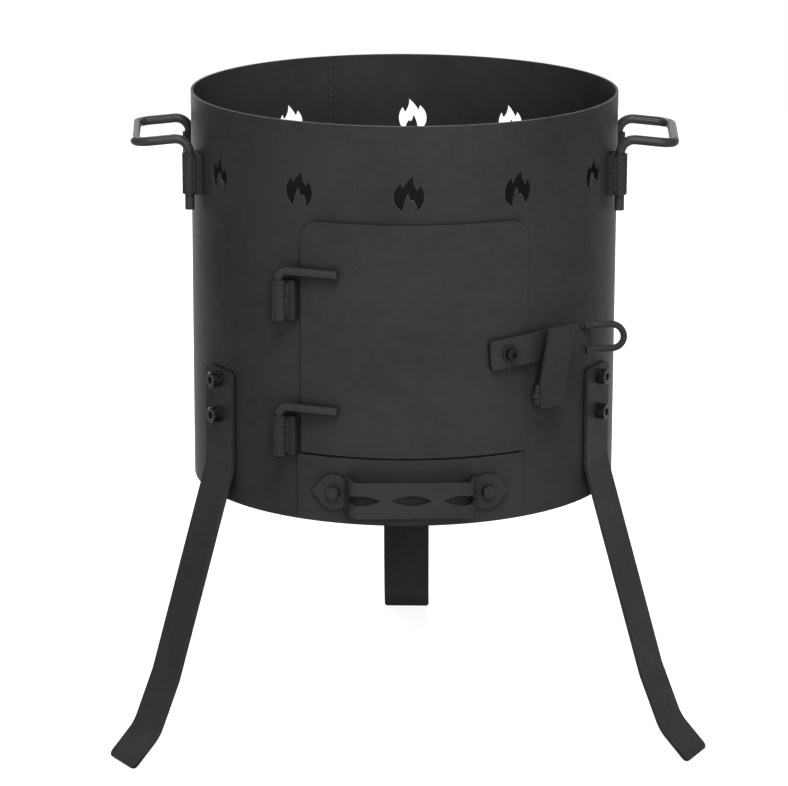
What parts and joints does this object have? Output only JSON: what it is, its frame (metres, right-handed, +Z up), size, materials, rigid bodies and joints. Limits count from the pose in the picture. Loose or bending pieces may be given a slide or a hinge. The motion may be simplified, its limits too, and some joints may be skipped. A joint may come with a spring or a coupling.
{
  "type": "cauldron stove",
  "caption": "Rolled steel drum stove on splayed flat-bar legs, with a latched fire door, an ash drawer, flame vents and lift-out handles, that carries a cauldron over a wood fire.",
  "frame": {"origin": "on the floor, under the middle of the stove's box", "axes": "+Z up; the fire door and the ash drawer face -Y; +X to the right as seen from the front"},
  "size_m": [0.505, 0.4844, 0.548],
  "materials": {
    "black_sheet_steel": "satin heat-resistant black paint on sheet steel",
    "black_flat_bar": "satin heat-resistant black paint on flat bar",
    "black_round_rod": "satin heat-resistant black paint on rod and tube",
    "weld_bead": "rippled bead under black paint",
    "dark_fasteners": "blackened steel with worn edges",
    "grate_steel": "bare dark plate steel"
  },
  "bodies": {
    "stove": {"drum": "black_sheet_steel", "seam_weld": "weld_bead", "base_plate": "black_sheet_steel", "drawer_guides": "black_flat_bar", "grate_lugs": "black_flat_bar", "upper_hinge_tube": "black_round_rod", "lower_hinge_tube": "black_round_rod", "upper_hinge_block": "black_flat_bar", "lower_hinge_block": "black_flat_bar", "latch_keeper": "black_flat_bar", "keeper_block": "black_flat_bar", "keeper_weld": "weld_bead", "leg_screws": "dark_fasteners", "leg_washers": "dark_fasteners", "leg_nuts": "dark_fasteners", "handle_sleeves_left": "black_round_rod", "handle_sleeves_right": "black_round_rod", "handle_blocks_left": "black_flat_bar", "handle_blocks_right": "black_flat_bar", "leg_front_left": "black_flat_bar", "leg_front_right": "black_flat_bar", "leg_rear": "black_flat_bar"},
    "door": {"door_panel": "black_sheet_steel", "upper_hinge_rod": "black_round_rod", "lower_hinge_rod": "black_round_rod", "latch_screw": "dark_fasteners", "latch_washer": "dark_fasteners", "latch_nut": "dark_fasteners"},
    "latch": {"latch_bar": "black_flat_bar", "latch_loop": "black_round_rod"},
    "drawer": {"drawer_front": "black_sheet_steel", "drawer_pan": "black_sheet_steel", "drawer_handle": "black_flat_bar", "drawer_bolts": "dark_fasteners", "drawer_nuts": "dark_fasteners"},
    "left_handle": {"handle_left": "black_round_rod"},
    "right_handle": {"handle_right": "black_round_rod"},
    "grate": {"fire_grate": "grate_steel"}
  },
  "joints": [
    {"name": "door_swing", "type": "hinge", "parent": "stove", "child": "door", "pos_m": [-0.10824, -0.19658, 0.419], "axis": [0, 0, 1], "range_deg": [-130, 0]},
    {"name": "latch_turn", "type": "hinge", "parent": "door", "child": "latch", "pos_m": [0.07662, -0.20496, 0.3595], "axis": [0.4274, -0.9041, 0], "range_deg": [-15, 90]},
    {"name": "drawer_slide", "type": "slide", "parent": "stove", "child": "drawer", "axis": [0, -1, 0], "range_m": [0, 0.2]},
    {"name": "left_handle_lift", "type": "slide", "parent": "stove", "child": "left_handle", "axis": [0, 0, 1], "range_m": [0, 0.055]},
    {"name": "right_handle_lift", "type": "slide", "parent": "stove", "child": "right_handle", "axis": [0, 0, 1], "range_m": [0, 0.055]},
    {"name": "grate_lift", "type": "slide", "parent": "stove", "child": "grate", "axis": [0, 0, 1], "range_m": [0, 0.28]}
  ]
}
